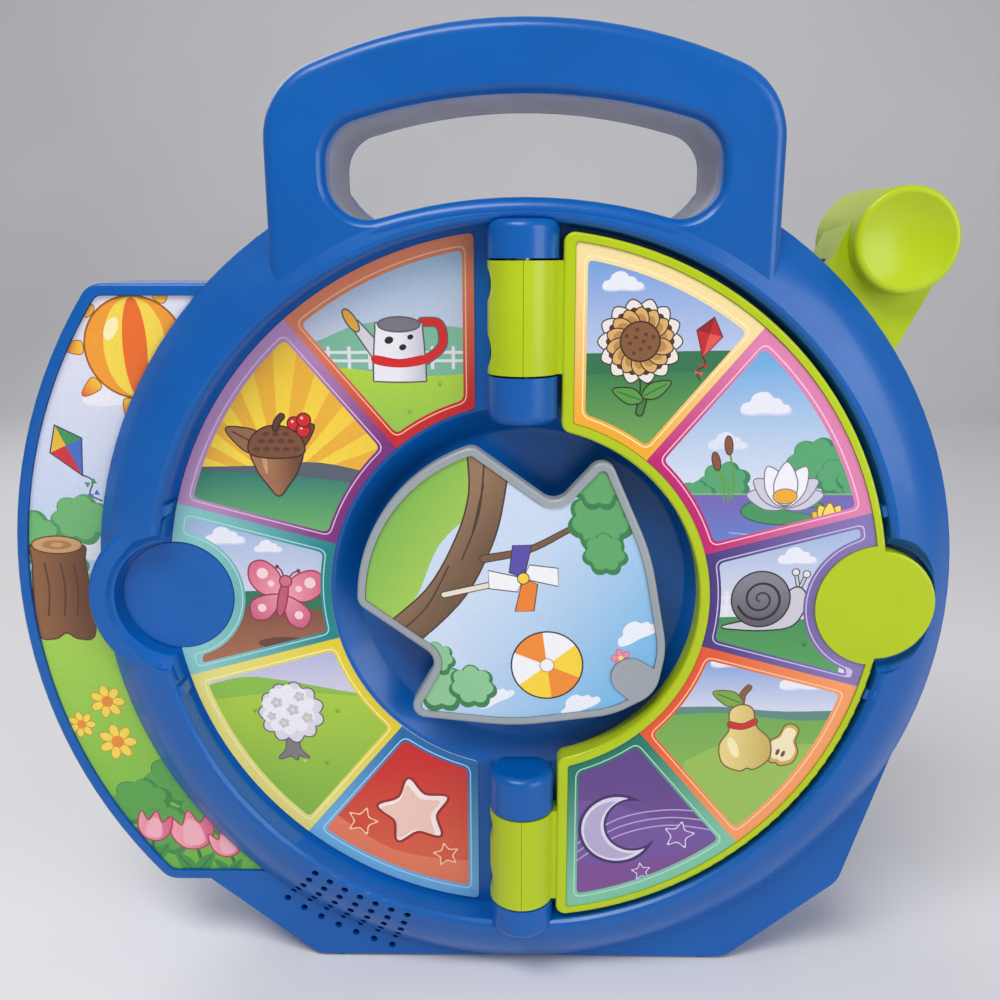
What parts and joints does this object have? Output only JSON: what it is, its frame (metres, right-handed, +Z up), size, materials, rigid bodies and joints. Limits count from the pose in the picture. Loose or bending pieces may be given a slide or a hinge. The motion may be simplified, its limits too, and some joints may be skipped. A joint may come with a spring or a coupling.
{
  "type": "animal sound spinner toy",
  "caption": "Upright nursery toy: a round picture face with a turning pointer, a half page that flips over, a pull lever and a carry handle.",
  "frame": {"origin": "on the surface that the toy stands on, under the middle of the outline's width and depth", "axes": "+Z up, -Y the way the picture face looks, +X to the right seen from the front (the side with the lever)"},
  "size_m": [0.2846, 0.072, 0.2914],
  "materials": {
    "case_blue": "satin gloss",
    "lime_green": "satin gloss",
    "silver_plastic": "satin metallic",
    "liner_grey": "satin",
    "printed_sheet": "satin printed film",
    "steel": "plated",
    "brass": "satin",
    "white_plastic": "satin",
    "black_plastic": "satin",
    "board_green": "solder mask",
    "paper_cone": "matte",
    "magnet_grey": "satin",
    "battery_label": "satin",
    "wire_red": "satin"
  },
  "bodies": {
    "case": {"front_housing": "case_blue", "rear_housing": "case_blue", "handle_liner_front": "liner_grey", "handle_liner_rear": "liner_grey", "wing_label": "printed_sheet", "left_label": "printed_sheet", "right_label": "printed_sheet", "case_screws": "steel", "hinge_pins": "steel", "shaft_bush": "white_plastic", "position_board": "board_green", "bearing_plate": "white_plastic", "plate_screws": "steel", "lever_pin": "steel", "lever_spring": "steel", "start_switch": "black_plastic", "main_board": "board_green", "board_parts": "black_plastic", "board_screws": "steel", "speaker_frame": "magnet_grey", "speaker_cone": "paper_cone", "speaker_magnet": "magnet_grey", "speaker_clamp": "white_plastic", "page_sensor": "black_plastic", "batteries": "battery_label", "battery_contacts": "steel", "battery_door": "case_blue", "door_screw": "steel", "switch_body": "black_plastic", "wires": "wire_red"},
    "page": {"page_front_shell": "lime_green", "page_back_shell": "lime_green", "page_front_label": "printed_sheet", "page_back_label": "printed_sheet", "page_screws": "steel", "page_magnet": "magnet_grey", "hinge_cap_upper": "lime_green", "hinge_cap_lower": "lime_green"},
    "pointer": {"pointer_plate": "silver_plastic", "pointer_label": "printed_sheet", "pointer_shaft": "steel", "clutch_spring": "steel", "clutch_hub": "white_plastic", "contact_wheel": "black_plastic", "wiper_contacts": "brass"},
    "pinion": {"drive_pinion": "white_plastic"},
    "lever": {"lever": "lime_green", "drive_sector": "white_plastic", "sector_screws": "steel"},
    "switch": {"switch_knob": "lime_green"}
  },
  "joints": [
    {"name": "page_flip", "type": "hinge", "parent": "case", "child": "page", "pos_m": [0.013, -0.026, 0.1299], "axis": [0, 0, -1], "range_deg": [0, 180]},
    {"name": "pointer_spin", "type": "hinge", "parent": "case", "child": "pointer", "pos_m": [0.013, -0.016, 0.1309], "axis": [0, 1, 0], "continuous": true},
    {"name": "lever_pull", "type": "hinge", "parent": "case", "child": "lever", "pos_m": [0.06844, -0.01, 0.13351], "axis": [0, 1, 0], "range_deg": [0, 55], "stiffness_Nm_per_rad": 0.08, "springref_deg": -68.75},
    {"name": "pinion_turn", "type": "hinge", "parent": "case", "child": "pinion", "pos_m": [0.013, -0.007, 0.1309], "axis": [0, 1, 0], "range_deg": [-240, 5]},
    {"name": "volume_slide", "type": "slide", "parent": "case", "child": "switch", "axis": [1, 0, 0], "range_m": [-0.003, 0.003]}
  ],
  "couplings": [
    {"joint": "pinion_turn", "follows": "lever_pull", "ratio": -4.2857}
  ]
}
